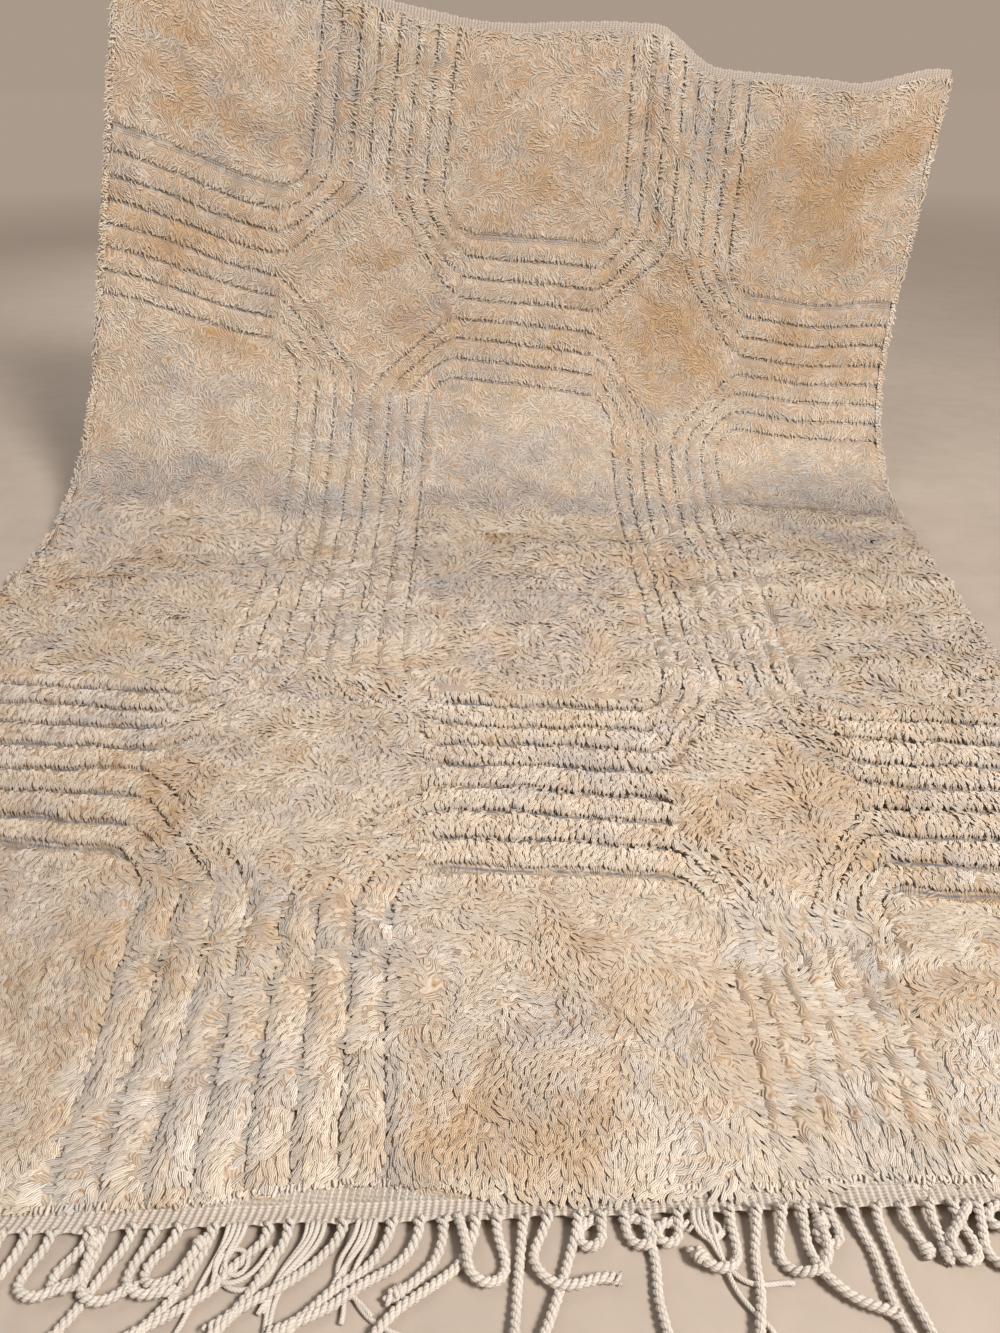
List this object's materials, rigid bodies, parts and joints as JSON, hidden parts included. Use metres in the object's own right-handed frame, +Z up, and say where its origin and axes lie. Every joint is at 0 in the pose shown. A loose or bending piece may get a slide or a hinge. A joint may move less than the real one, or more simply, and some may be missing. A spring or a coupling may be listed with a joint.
{
  "type": "shag rug",
  "caption": "Thick knotted wool pile rug with carved grooves and corded front fringe, its far end held up and its front lying on the floor.",
  "frame": {"origin": "on the floor under the middle of the draped rug's outline", "axes": "+Z up, +Y from the fringed front end on the floor towards the end that is held up, +X to the right seen from the front"},
  "size_m": [2.124, 2.7366, 1.2495],
  "materials": {
    "wool_pile": "cut wool pile, cream and beige with faded ochre and grey-blue clouds",
    "heading_weave": "flat ribbed wool weave, cream",
    "fringe_wool": "twisted wool cord, cream"
  },
  "bodies": {
    "root": {"pile_cloth": "wool_pile", "top_heading": "heading_weave", "front_heading_fringe": "fringe_wool"}
  },
  "joints": []
}
